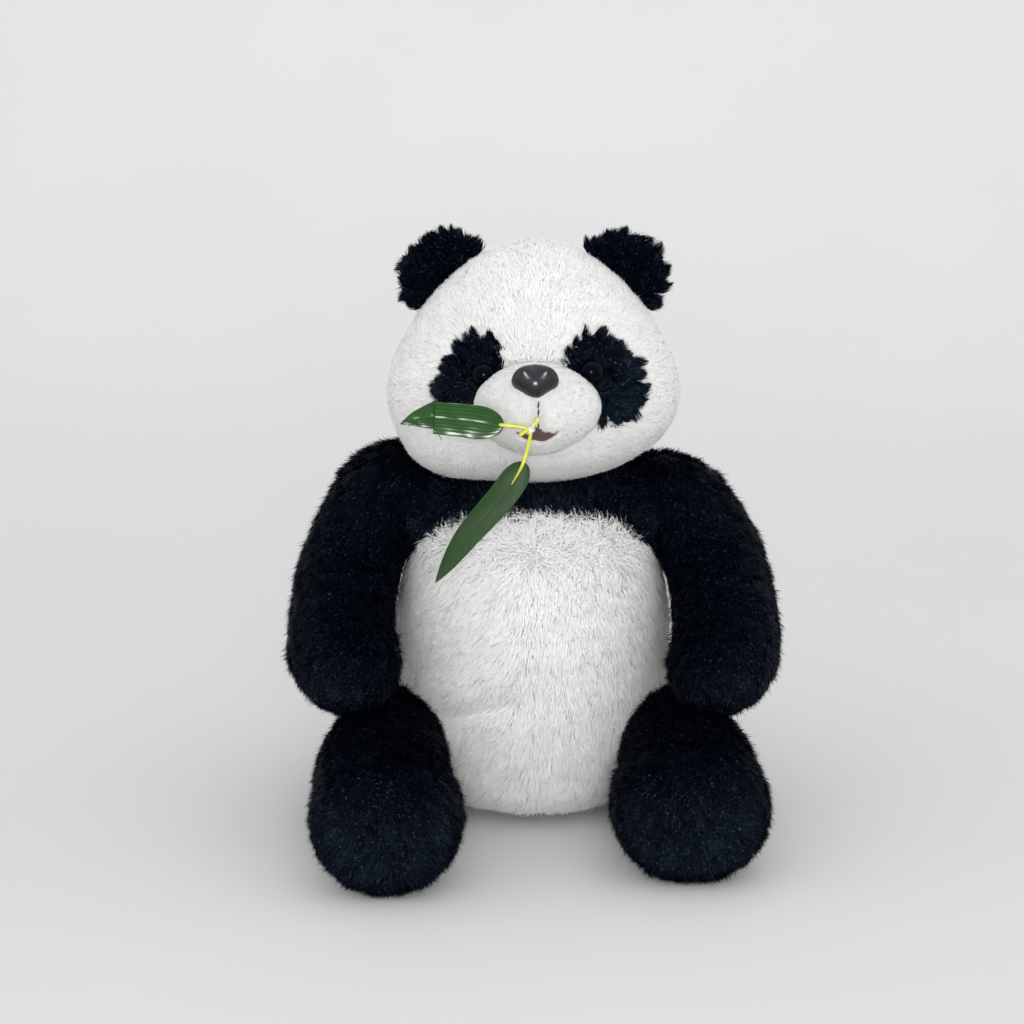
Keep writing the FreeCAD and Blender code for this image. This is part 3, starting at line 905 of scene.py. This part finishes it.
def muzzle_ball():
    """Middle and radii of the muzzle's backing cloth."""
    low, high = node_box("muzzle_cover")
    centre = (low + high) / 2
    half_x = (high[0] - low[0]) / 2 - SHORT_PILE
    half_z = (high[2] - low[2]) / 2 - SHORT_PILE
    centre[1] = low[1] + half_z + SHORT_PILE
    return centre, (half_x, half_z, half_z)


def muzzle_front(x, z):
    """Y of the muzzle's backing cloth at a place on its front."""
    centre, radii = muzzle_ball()
    share = 1 - ((x - centre[0]) / radii[0]) ** 2 - ((z - centre[2]) / radii[2]) ** 2
    return centre[1] - radii[1] * np.sqrt(np.maximum(share, 0))


def muzzle_shape(points):
    """A crease down from the nose, a full lip on each side of it, and a full cheek and chin."""
    points = points.copy()
    x, y, z = points.T
    front = smoothstep(-92, -100, y)
    crease = bell((x - CREASE_X) / CREASE_HALF_WIDTH) * smoothstep(246, 250, z) * smoothstep(270, 264, z)
    lips = bell((np.abs(x - CREASE_X) - LIP_OFFSET) / LIP_RADIUS) * bell((z - LIP_Z) / LIP_RADIUS)
    points[:, 1] += front * (CREASE_DEPTH * crease - LIP_RISE * lips + MOUTH_SINK * in_mouth(points))
    left = CHEEKS_LET_OUT["left"] * smoothstep(12, 44, x)
    right = CHEEKS_LET_OUT["right"] * smoothstep(-12, -42, x)
    points[:, 0] += left - right
    points[:, 2] -= CHIN_LET_DOWN * smoothstep(240, 226, z)
    return points


def muzzle_flow(places):
    return unit(places - node_middle("nose")) + MUZZLE_DRIFT


def muzzle_pieces():
    obj = even_solid("muzzle_form", [ball(*muzzle_ball())], **FINE_MESH)
    form = Form(obj, muzzle_shape)
    centres = form.centres()
    back = node_box("muzzle_cover")[1][1]
    keep = (centres[:, 1] < back - 1) & ~in_mouth(centres)
    fur_panel("muzzle_cover", form, form.quads[keep], MUZZLE_PILE, muzzle_flow, "short_white",
              SEEDS["muzzle"])
    filling("muzzle_stuffing", form, MUZZLE_FILLING_DEPTH)


def eye_pieces():
    """Polished domes with their shanks."""
    for side in SIDES:
        low, high = node_box(f"eye_{side}")
        centre = (low + high) / 2 + EYE_SET[side]
        centre[1] = low[1] + EYE_RADIUS
        dome = ball(centre, (EYE_RADIUS,) * 3, 36, 64)
        path = np.linspace(centre, [centre[0], high[1], centre[2]], 6)
        shank = tube(path, [EYE_SHANK_RADIUS] * 6, 20)
        eye = mesh_object(f"eye_{side}_moulding", [dome, shank], "eye")
        attach(eye, f"eye_{side}")


def nose_piece():
    """Moulding with two low lobes, domed at its top, and narrow and waisted at its bottom."""
    low, high = node_box("nose")
    centre = np.array([(low[0] + high[0]) / 2, low[1] + NOSE_BEHIND_FRONT, high[2] - NOSE_BELOW_TOP])
    lean = math.radians(NOSE_LEAN)
    up = np.array([0, math.sin(lean), math.cos(lean)])
    out = np.array([0, -math.cos(lean), math.sin(lean)])
    edge = smooth_path([(x, z, 0) for x, z in NOSE_HALF_OUTLINE], 40)[:, :2]
    outline = np.concatenate([edge, edge[-2:0:-1] * [-1, 1]])
    rings = []
    for lift in np.linspace(-0.5, 0.98, 30) * math.pi / 2:
        rim = outline * math.cos(lift) ** 0.8 * [NOSE_HALF_WIDTH, NOSE_HALF_HEIGHT]
        from_lobe = (np.stack([np.abs(rim[:, 0]), rim[:, 1]], 1) - LOBE_PLACE) / LOBE_HALF_SIZE
        lobes = LOBE_RISE * np.exp(-(from_lobe**2).sum(1)) * (0.3 + 0.7 * max(0, math.sin(lift)))
        height = NOSE_DOME * (math.sin(lift) + 0.15) + lobes
        ring = centre + np.outer(rim[:, 0], [1, 0, 0]) + np.outer(rim[:, 1], up) + np.outer(height, out)
        rings.append(ring)
    nose = mesh_object("nose_moulding", [loft(rings)], "nose")
    attach(nose, "nose")


def mouth_top(x):
    """Height of the mouth's upper lip: a smile with a peak under the stitches."""
    curl = MOUTH_CURL * ((x - MOUTH_MIDDLE[0]) / MOUTH_HALF_WIDTH) ** 2
    return MOUTH_MIDDLE[1] + curl + MOUTH_PEAK * bell(x / MOUTH_PEAK_HALF_WIDTH)


def mouth_depth(share, least=0):
    """How far the mouth opens at a share of its half width."""
    return MOUTH_DROP * np.maximum(1 - share**1.5, least)


def in_mouth(points):
    """True for points over the open mouth."""
    x, z = points[:, 0], points[:, 2]
    share = np.abs(x - MOUTH_MIDDLE[0]) / MOUTH_HALF_WIDTH
    top = mouth_top(x)
    return (share < 1) & (z < top) & (z > top - mouth_depth(share))


def mouth_lining():
    """Brown cloth in a smile-shaped slit."""
    share = np.linspace(-1, 1, 41)
    x = MOUTH_MIDDLE[0] + share * MOUTH_HALF_WIDTH
    rows = []
    for drop in np.linspace(0, 1, 7):
        z = mouth_top(x) - mouth_depth(np.abs(share), 0.02) * drop
        y = muzzle_front(x, z) - 0.9 - LINING_BULGE * np.sin(math.pi * drop)
        rows.append(np.stack([x, y, z], 1))
    front = np.array(rows)
    back = front + [0, LINING_THICKNESS, 0]
    outline = np.concatenate([front, back[::-1]])
    lining = mesh_object("mouth_lining_cloth", [loft(outline.transpose(1, 0, 2))], "mouth")
    attach(lining, "mouth_lining")


def philtrum():
    """Dark stitches, each arched and pointed at its ends, from the nose down to the mouth."""
    low, high = node_box("philtrum_stitches")
    middle = (low[0] + high[0]) / 2
    top, bottom = (high[2] - end for end in STITCH_ENDS)
    arch = np.sin(np.linspace(0, math.pi, 9))
    radii = 0.22 + 0.28 * np.sin(np.linspace(0.25, math.pi - 0.25, 9))
    stitches = []
    for index in range(STITCHES):
        z = np.linspace(top, bottom, 9) - index * STITCH_PITCH
        y = muzzle_front(np.full(9, middle), z) - 1.3 - 0.7 * arch
        x = middle + np.linspace(0.25, -0.25, 9)
        stitches.append(tube(np.stack([x, y, z], 1), radii, 10))
    thread = mesh_object("philtrum_thread", stitches, "dark_thread")
    attach(thread, "philtrum_stitches")


# Torso

def torso_shape(points):
    """Flat beneath and beside the arms, with a crease down the belly's seam and a soft fold beside it."""
    points = points.copy()
    x, y, z = points.T
    points[:, 0] = np.clip(x, -TORSO_SIDES["right"], TORSO_SIDES["left"])
    points[:, 2] = np.maximum(z, UNDERSIDE)
    front = smoothstep(-30, -60, y) * smoothstep(185, 165, z)
    seam = bell((x - BELLY_SEAM_X) / BELLY_SEAM_HALF_WIDTH) * smoothstep(150, 110, z)
    from_fold = (z - FOLD_PLACE[1] - FOLD_SLOPE * (x - FOLD_PLACE[0])) / FOLD_HALF_WIDTH
    fold = bell(from_fold) * smoothstep(2, -14, x) * smoothstep(-66, -40, x)
    points[:, 1] += front * (BELLY_SEAM_DEPTH * seam + FOLD_DEPTH * fold)
    return points


def torso_seams(points):
    """Distance to the side seams and the belly's middle seam."""
    x, y = points.T[:2]
    middle = np.where(y < 0, np.abs(x - BELLY_SEAM_X), np.abs(x))
    return np.minimum(np.abs(y), middle)


def torso_flow(places):
    """Down the body, outwards at the belly's sides, up along its top edge and aslant on its right half."""
    x, y, z = (places[:, i:i + 1] for i in range(3))
    sideways = np.array([1, 0, 0]) * np.sign(x)
    front = smoothstep(0, -30, y)
    aslant = smoothstep(4, -20, x) * front
    top = smoothstep(140, 182, z) * smoothstep(204, 188, z) * front
    edge = smoothstep(45, 75, np.abs(x)) * front
    down = np.array([0, 0, -1.0]) * (1 - BELLY_UPTURN * top)
    return down + aslant * (1 - top) * np.array(BELLY_SLANT) + edge * sideways * BELLY_SPREAD


def torso_pieces():
    rings = spun_rings(TORSO_OUTLINE, TORSO_MIDDLE_Y, TORSO_DEPTH, PILE)
    shoulder = ball(SHOULDER_MIDDLE, np.array(SHOULDER_RADII) - PILE)
    obj = even_solid("torso_form", [loft(rings), shoulder], **BODY_MESH)
    puff(obj, torso_seams)
    form = Form(obj, torso_shape)
    nodes = ["belly_panel", "yoke_front", "yoke_back_left", "yoke_back_right", "back_panel_left",
             "back_panel_right", "seat_panel"]
    centres = form.centres()
    choice = nearest_node(centres, nodes)
    away = np.abs(centres[:, 0] / BELLY_HALF_WIDTH) ** BELLY_SQUARENESS
    away += np.maximum((centres[:, 2] - BELLY_MIDDLE_Z) / BELLY_RISE, 0) ** BELLY_SQUARENESS
    front = choice < 2
    choice[front] = (away > 1)[front]
    for index, node in enumerate(nodes):
        dark = node.startswith("yoke")
        fur_panel(node, form, form.quads[choice == index], LIMB_PILE if dark else BELLY_PILE, torso_flow,
                  "black" if dark else "white", SEEDS["torso"] + index)
    filling("torso_stuffing", form)


def tail_piece():
    low, high = node_box("tail")
    obj = even_solid("tail_form", [ball((low + high) / 2, (high - low) / 2 - TAIL_PILE_DEPTH)], **SMALL_MESH)
    form = Form(obj)
    fur_panel("tail", form, form.quads, TAIL_PILE, straight((0, 0.4, -1)), "white", SEEDS["tail"])


def neck_piece():
    """Stuffed neck, covered in the yoke's cloth, between the body and the head."""
    low, high = node_box("neck_core")
    half = (high[0] - low[0]) / 2 - PILE
    solid = ball((low + high) / 2, (half, half, (high[2] - low[2]) / 2 - 1))
    form = Form(even_solid("neck_form", [solid], **SMALL_MESH))
    fur_panel("neck_core", form, form.quads, NECK_PILE, straight((0, 0, -1)), "black", SEEDS["neck"],
              "neck_pile")


# Limbs and ears

def limb_form(name, balls, sign, seams, foot=None, shape=None):
    """Even form around balls strung between the given ones, and around a foot's disc."""
    stations = np.linspace(0, len(balls) - 1, LIMB_STATIONS)
    centres = smooth_path([mirrored(place, sign) for place, _ in balls], LIMB_STATIONS)
    radii = np.interp(stations, range(len(balls)), [radius for _, radius in balls]) - PILE
    solids = [ball(c, (r, r, r), 14, 24) for c, r in zip(centres, radii)]
    if foot:
        place, size = foot
        solids.append(puck(mirrored(place, sign), np.array(size, float) - PILE, FOOT_SQUARENESS))
    obj = even_solid(name, solids, **LIMB_MESH)
    puff(obj, seams)
    return Form(obj, shape)


def limb_panels(limb, sign, nodes, form, flow):
    """A limb's long black pile, split between its panels."""
    choice = nearest_node(form.centres(), nodes)
    for index, node in enumerate(nodes):
        seed = SEEDS[limb] + index + 4 * (sign > 0)
        fur_panel(node, form, form.quads[choice == index], LIMB_PILE, flow, "black", seed)


def arm_pieces(side, sign):
    seam_x = node_box(f"arm_outer_{side}")[0 if sign > 0 else 1][0]
    along = mirrored(ARM_BALLS[-1][0], sign) - mirrored(ARM_BALLS[0][0], sign)

    def flow(places):
        return unit(along) + 0 * places + mirrored(ARM_DRIFT, sign)

    balls = []
    for index, ((x, y, z), radius) in enumerate(ARM_BALLS):
        rise = SHOULDER_RISE[side] if index < SHOULDER_BALLS else 0
        balls.append(((x, y, z + rise), radius))
    form = limb_form(f"arm_{side}_form", balls, sign, lambda points: np.abs(points[:, 0] - seam_x))
    limb_panels("arm", sign, [f"arm_outer_{side}", f"arm_inner_{side}"], form, flow)
    filling(f"arm_stuffing_{side}", form)


def leg_pieces(side, sign):
    seam_z = node_box(f"leg_upper_{side}")[0][2]
    foot = mirrored(FOOT[side][0], sign)
    along = unit(foot - mirrored(LEG_BALLS[side][0][0], sign))

    def seams(points):
        return np.abs(points[:, 2] - seam_z)

    def shape(points):
        return np.maximum(points, [-np.inf, -np.inf, UNDERSIDE])

    def flow(places):
        sole = smoothstep(foot[1] + 25, foot[1] - 20, places[:, 1:2])
        outwards = unit((places - foot) * [1, 0, 1]) * sole
        return (along + 0 * places) * LEG_ALONG + LEG_DROP + outwards * SOLE_SPREAD

    form = limb_form(f"leg_{side}_form", LEG_BALLS[side], sign, seams, FOOT[side], shape)
    nodes = [f"leg_upper_{side}", f"leg_under_{side}", f"sole_{side}"]
    limb_panels("leg", sign, nodes, form, flow)
    filling(f"leg_stuffing_{side}", form)


def ear_pieces(side, sign):
    """Half disc that stands on the head's seam, in two panels."""
    joint = next(j for j in frame["joints"] if j["name"] == f"ear_{side}_flop")
    tilt = math.radians(EAR_TILT)
    way = np.array([sign * math.cos(tilt), 0, math.sin(tilt)])
    base = np.array(joint["pos_m"], float) / MM - way * EAR_SINK
    chord = np.array([-way[2], 0, way[0]])
    facing = np.array([0, 1, 0])

    radii = (EAR_HALF_WIDTH, EAR_HEIGHT + EAR_SINK, EAR_HALF_THICKNESS)
    local, face_sets = ball((0, 0, 0), radii, 24, 48)
    placed = base + np.outer(local[:, 0], chord) + np.outer(local[:, 1], way) + np.outer(local[:, 2], facing)
    form = Form(even_solid(f"ear_{side}_form", [(placed, face_sets)], **FINE_MESH))
    centres = form.centres()
    standing = (centres - base) @ way > 0

    def flow(places):
        return unit(places - (base - way * EAR_PILE_ROOT)) + way * EAR_RISE

    for part, front in (("front", True), ("back", False)):
        keep = standing & ((centres[:, 1] < base[1]) == front)
        seed = SEEDS["ear"] + front + 2 * (sign > 0)
        fur_panel(f"ear_{part}_{side}", form, form.quads[keep], EAR_PILE, flow, "black", seed)


# Bamboo sprig

def blade(spine, half_widths, cup, veins):
    """Leaf along a spine in a plane that faces -Y, and each point's vein value."""
    count = len(spine)
    across = unit(np.cross(unit(np.gradient(spine, axis=0)), [0, 1, 0]))
    share = np.linspace(-1, 1, 41)
    ridges = np.cos(share * math.pi * veins)
    relief = VEIN_RIDGE * ridges + WAVE_ACROSS * np.sin(4.2 * share + 1.4) + RIB_RIDGE * bell(share / 0.06)
    wave = WAVE_ALONG * np.outer(np.sin(np.linspace(1, 17, count)), np.cos(3 * share))
    fullness = half_widths**0.5 / max(half_widths) ** 0.5
    rings = []
    for surface in (1, -1):
        lift = -(cup * share**2) - surface * LEAF_THICKNESS / 2
        if surface > 0:
            lift = lift - relief
        flat = spine[:, None] + across[:, None] * share[None, :, None] * half_widths[:, None, None]
        flat[:, :, 1] += np.outer(fullness, lift) + wave
        rings.append(flat)
    outline = np.concatenate([rings[0], rings[1][:, ::-1]], 1)
    vein = 0.12 + 0.12 * ridges + 0.2 * bell(share / 0.05)
    values = np.concatenate([np.tile(np.concatenate([vein, vein[::-1]]), count), [0, 0]])
    return loft(outline), values


def with_veins(obj, values):
    attribute = obj.data.attributes.new("vein", "FLOAT", "POINT")
    attribute.data.foreach_set("value", values.astype(np.float32))


def sprig_path(places, plane, count):
    """Smooth path through places whose Y is measured from the leaf's plane."""
    return smooth_path(np.array(places) + [0, plane, 0], count)


def blunt(share, reach):
    """Half width of a leaf's rounded end, which is full after a share of its length."""
    return np.maximum(np.sqrt(1 - (1 - np.minimum(share / reach, 1)) ** 2.2), 0.02)


def upper_leaf(plane):
    """Leaf folded over at mid length, with a crease at the fold and a loose fibre."""
    share = np.linspace(0, 1, 60)
    widths = UPPER_LEAF_HALF_WIDTH * blunt(share, 0.42) * (1 - 0.08 * np.maximum(share - 0.4, 0))
    near, near_values = blade(sprig_path(UPPER_LEAF, plane, 60), widths, 1.2, 9)
    widths = UPPER_LEAF_BACK_HALF_WIDTH * (1 - np.linspace(0, 1, 30)) ** 0.9 + 0.15
    far, far_values = blade(sprig_path(UPPER_LEAF_BACK, plane, 30), widths, 0.5, 9)
    fold = tube(sprig_path(UPPER_LEAF_FOLD, plane, 9), [0.8] * 9, 10)
    fibre = tube(sprig_path(UPPER_LEAF_FIBRE, plane, 12), np.linspace(0.3, 0.12, 12), 6)
    plain = np.zeros(len(fold[0]) + len(fibre[0]))
    leaf = mesh_object("leaf_upper_blade", [near, far, fold, fibre], "glossy_leaf")
    with_veins(leaf, np.concatenate([near_values, far_values, plain]))
    attach(leaf, "leaf_upper")


def lower_leaf(plane):
    """Long leaf that hangs from its blunt end and narrows to a point."""
    share = np.linspace(0, 1, 90)
    widths = LOWER_LEAF_HALF_WIDTH * blunt(share, 0.22) * (1 - share**4.5) + 0.12
    solid, values = blade(sprig_path(LOWER_LEAF, plane, 90), widths, 1.4, 11)
    leaf = mesh_object("leaf_lower_blade", [solid], "matte_leaf")
    with_veins(leaf, values)
    attach(leaf, "leaf_lower")


def stem_piece(node, path, radii):
    stem = mesh_object(f"{node}_moulding", [tube(path, radii, 14)], "stem")
    attach(stem, node)


def knot_piece():
    """Pale thread: two turns round the stems, a bead, a short end and a tie into the mouth."""
    high = node_box("mouth_thread")[1]
    middle = node_middle("mouth_thread")
    centre = np.array([KNOT_X, middle[1], KNOT_Z])
    turns = np.linspace(0, 4 * math.pi, 60)
    rise = 0.35 * turns - 2.2 + 1.2 * np.cos(turns)
    loop = centre + np.stack([1.9 * np.cos(turns), 2.6 * np.sin(turns) - 0.2, rise], 1)
    end_path = smooth_path([centre + [0, -2.6, 0], centre + [1.4, -2.2, 0.7], centre + [2.6, -1, 0.2]], 14)
    tie_path = smooth_path([centre + [0, 1.5, 0], middle, [middle[0], high[1] - 1, middle[2]]], 14)
    solids = [
        tube(loop, [0.35] * 60, 8),
        ball(centre + [0.2, -2.8, 0], (1.3, 0.9, 1.1), 10, 16),
        tube(end_path, np.linspace(0.4, 0.25, 14), 8),
        tube(tie_path, [0.5] * 14, 8),
    ]
    knot = mesh_object("mouth_thread_knot", solids, "pale_thread")
    attach(knot, "mouth_thread")


def sprig_pieces():
    upper = node_middle("leaf_upper")[1]
    lower = node_middle("leaf_lower")[1]
    upper_leaf(upper)
    lower_leaf(lower)
    radii = np.linspace(1.15, 0.9, 40)
    radii[0] = 0.5
    stem_piece("stem_upper", sprig_path(UPPER_STEM, upper, 40), radii)
    radii = np.concatenate([np.full(38, 1.0), np.linspace(1, 0.25, 22)])
    stem_piece("stem_lower", sprig_path(LOWER_STEM, lower, 60), radii)
    knot_piece()


# Carried-over nodes, lights, floor and camera

def finish_cad_nodes():
    """Moulded and cloth pieces hidden inside keep their CAD shape and get their finish."""
    finishes = {"eye_washer_left": "washer", "eye_washer_right": "washer", "nose_washer": "washer",
                "pellet_pouch": "pouch"}
    for node, finish in finishes.items():
        mesh = frame["nodes"][node].data
        mesh.materials.clear()
        mesh.materials.append(looks[finish])


def backdrop():
    """Pale floor that curves up into a wall far behind."""
    path = [(FLOOR_FRONT, 0), (BEND_START, 0)]
    for turn in np.radians(np.arange(10, 91, 10)):
        path.append((BEND_START + BEND_RADIUS * math.sin(turn), BEND_RADIUS - BEND_RADIUS * math.cos(turn)))
    path.append((BEND_START + BEND_RADIUS, WALL_TOP))
    points = [(x, y, z) for y, z in path for x in (-FLOOR_HALF_WIDTH, FLOOR_HALF_WIDTH)]
    quads = grid_quads(len(path), 2, False)[:, ::-1]
    floor = mesh_object("floor", [(np.array(points, float), [quads])], "paper")


def area_light(name, place, target, size, power):
    light = bpy.data.lights.new(name, "AREA")
    light.shape = "RECTANGLE"
    light.size, light.size_y = (s * MM for s in size)
    light.energy = power
    obj = bpy.data.objects.new(name, light)
    obj.location = Vector(place) * MM
    obj.rotation_euler = (Vector(target) - Vector(place)).to_track_quat("-Z", "Y").to_euler()
    bpy.context.scene.collection.objects.link(obj)
    return obj


def studio():
    """Even sky and soft lamps; the glint lamp only makes highlights."""
    scene = bpy.context.scene
    world = bpy.data.worlds.new("studio")
    world.use_nodes = True
    world.node_tree.nodes["Background"].inputs["Color"].default_value = SKY_COLOUR
    world.node_tree.nodes["Background"].inputs["Strength"].default_value = SKY_STRENGTH
    scene.world = world
    for name, light in LIGHTS.items():
        obj = area_light(name, *light)
        obj.visible_diffuse = name != "glint"
    scene.view_settings.view_transform = "Standard"


def camera():
    lens = bpy.data.cameras.new("camera")
    lens.lens = CAMERA_LENS
    lens.sensor_width = CAMERA_SENSOR
    lens.clip_start = 0.05
    obj = bpy.data.objects.new("camera", lens)
    lift = math.radians(CAMERA_ELEVATION)
    away = Vector((0, -math.cos(lift), math.sin(lift))) * CAMERA_DISTANCE
    obj.location = (Vector(CAMERA_TARGET) + away) * MM
    obj.rotation_euler = (math.pi / 2 - lift, 0, 0)
    bpy.context.scene.collection.objects.link(obj)
    bpy.context.scene.camera = obj


def main():
    camera()
    studio()
    backdrop()
    head_pieces()
    muzzle_pieces()
    eye_pieces()
    nose_piece()
    mouth_lining()
    philtrum()
    torso_pieces()
    tail_piece()
    neck_piece()
    for side, sign in SIDES.items():
        arm_pieces(side, sign)
        leg_pieces(side, sign)
        ear_pieces(side, sign)
    sprig_pieces()
    finish_cad_nodes()


looks = make_materials()
main()
bpy.context.view_layer.update()
